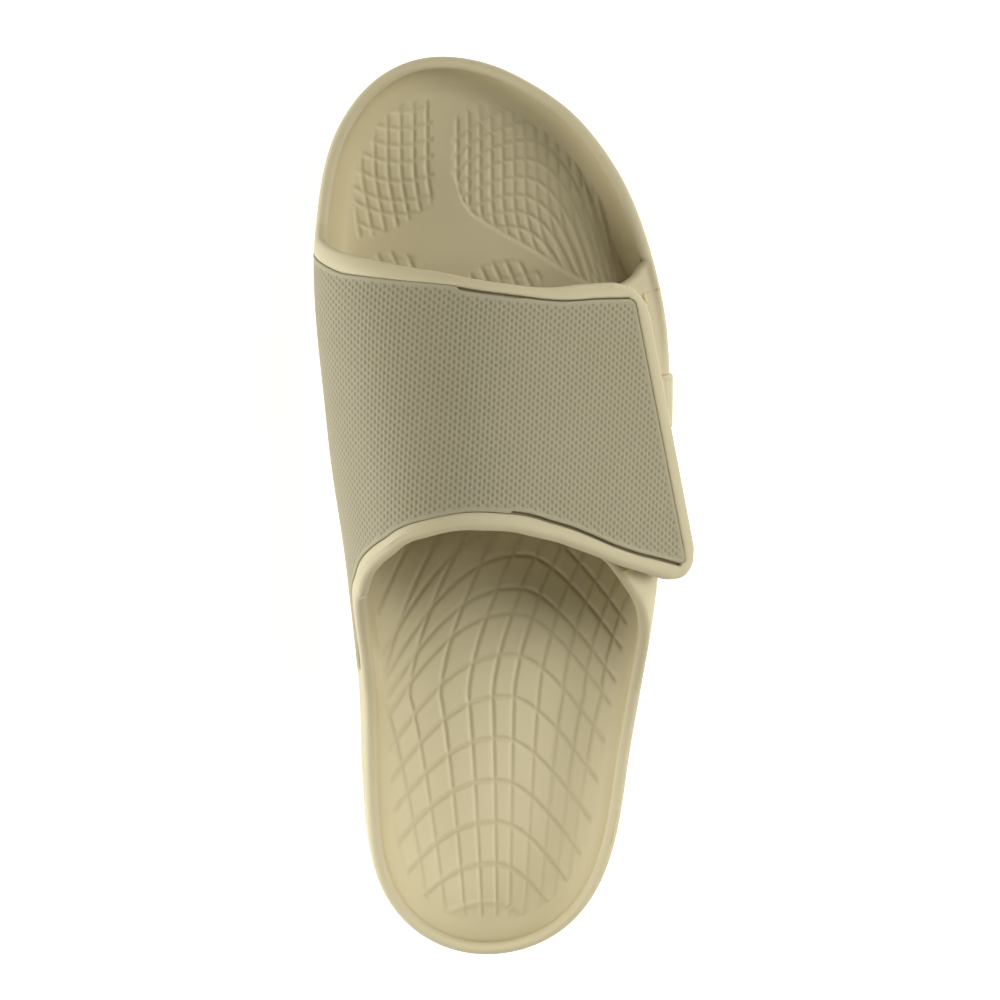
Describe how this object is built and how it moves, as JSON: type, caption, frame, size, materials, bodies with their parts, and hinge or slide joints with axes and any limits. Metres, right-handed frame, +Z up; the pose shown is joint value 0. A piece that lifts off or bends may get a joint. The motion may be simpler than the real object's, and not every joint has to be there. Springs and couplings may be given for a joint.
{
  "type": "slide sandal",
  "caption": "Open-toe foam slide sandal for a right foot, with a wide strap that crosses the instep and closes over a lateral wing.",
  "frame": {"origin": "middle of the sandal's box, on the floor it stands on", "axes": "+Y to the toe, +X to the outer (lateral) side of the right foot, +Z up"},
  "size_m": [0.1196, 0.287, 0.0929],
  "materials": {
    "foam_sole": "semi-matte moulded foam",
    "foam_upper": "semi-matte moulded foam",
    "panel_foam": "matte, finely dimpled",
    "hook_nylon": "matte woven tape",
    "loop_nylon": "brushed pile",
    "badge_foam": "smooth"
  },
  "bodies": {
    "root": {"sole": "foam_sole", "upper": "foam_upper", "strap_panel": "panel_foam", "hook_pad": "hook_nylon", "loop_pad": "loop_nylon", "side_badge": "badge_foam"}
  },
  "joints": []
}
